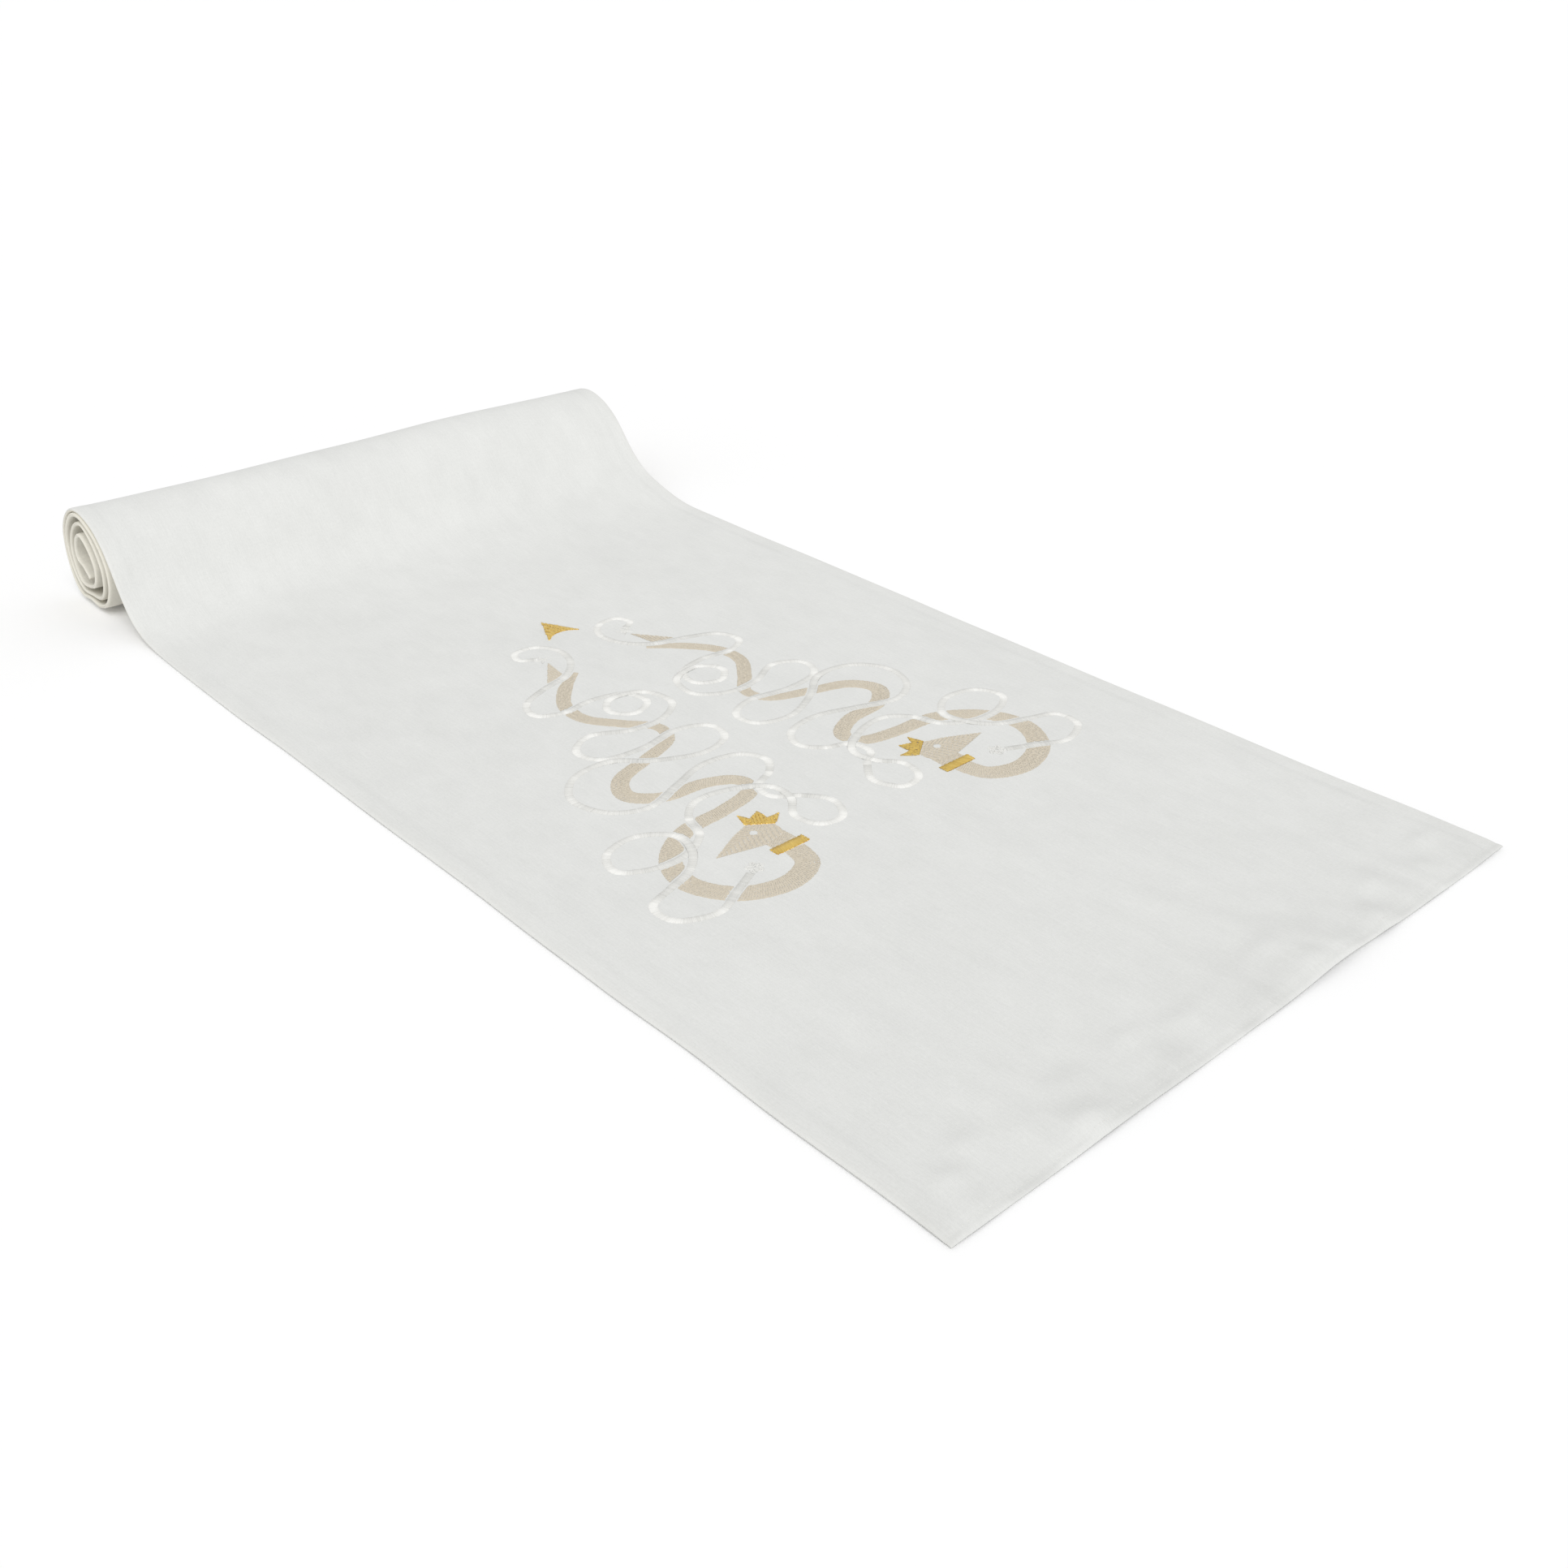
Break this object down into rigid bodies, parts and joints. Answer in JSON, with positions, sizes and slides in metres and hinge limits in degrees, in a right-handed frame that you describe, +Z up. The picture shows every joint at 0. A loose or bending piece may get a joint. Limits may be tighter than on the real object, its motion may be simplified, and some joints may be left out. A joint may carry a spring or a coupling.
{
  "type": "table runner",
  "caption": "Double-cloth embroidered table runner, laid out flat with its far end rolled up; the roll slides out along the table.",
  "frame": {"origin": "under the middle of the bounding box, on the table", "axes": "+X across the runner, +Y from the flat end to the roll, +Z up from the table"},
  "size_m": [0.4, 0.7862, 0.0652],
  "materials": {
    "cloth": "fine off-white plain weave with slubs",
    "sewing_thread": "matt off-white sewing thread",
    "bobbin_thread": "fine white bobbin thread",
    "beige_thread": "beige rayon fill stitch",
    "ribbon_thread": "white satin stitch with a strong sheen",
    "gold_thread": "gold metallic thread, satin stitch"
  },
  "bodies": {
    "laid_end": {"face_panel_laid": "cloth", "back_panel_laid": "cloth", "face_panel_middle": "cloth", "back_panel_middle": "cloth", "left_seam_laid": "sewing_thread", "right_seam_laid": "sewing_thread", "left_seam_middle": "sewing_thread", "right_seam_middle": "sewing_thread", "laid_end_stitches": "sewing_thread", "left_bobbin_thread": "bobbin_thread", "right_bobbin_thread": "bobbin_thread", "gold_tip": "gold_thread", "left_tail": "beige_thread", "right_tail": "beige_thread", "left_neck": "beige_thread", "right_neck": "beige_thread", "left_head": "beige_thread", "right_head": "beige_thread", "left_collar": "gold_thread", "right_collar": "gold_thread", "left_crown": "gold_thread", "right_crown": "gold_thread", "left_ribbon": "ribbon_thread", "right_ribbon": "ribbon_thread", "left_rosette": "ribbon_thread", "right_rosette": "ribbon_thread", "left_tie": "ribbon_thread", "right_tie": "ribbon_thread"},
    "roll": {"face_panel_ramp": "cloth", "back_panel_ramp": "cloth", "face_panel_roll": "cloth", "back_panel_roll": "cloth", "left_seam_roll": "sewing_thread", "right_seam_roll": "sewing_thread", "rolled_end_stitches": "sewing_thread"}
  },
  "joints": [
    {"name": "unroll", "type": "slide", "parent": "laid_end", "child": "roll", "axis": [0, 1, 0], "range_m": [-0.05, 0.2], "deforming": ["face_panel_middle", "back_panel_middle", "left_seam_middle", "right_seam_middle"]}
  ]
}
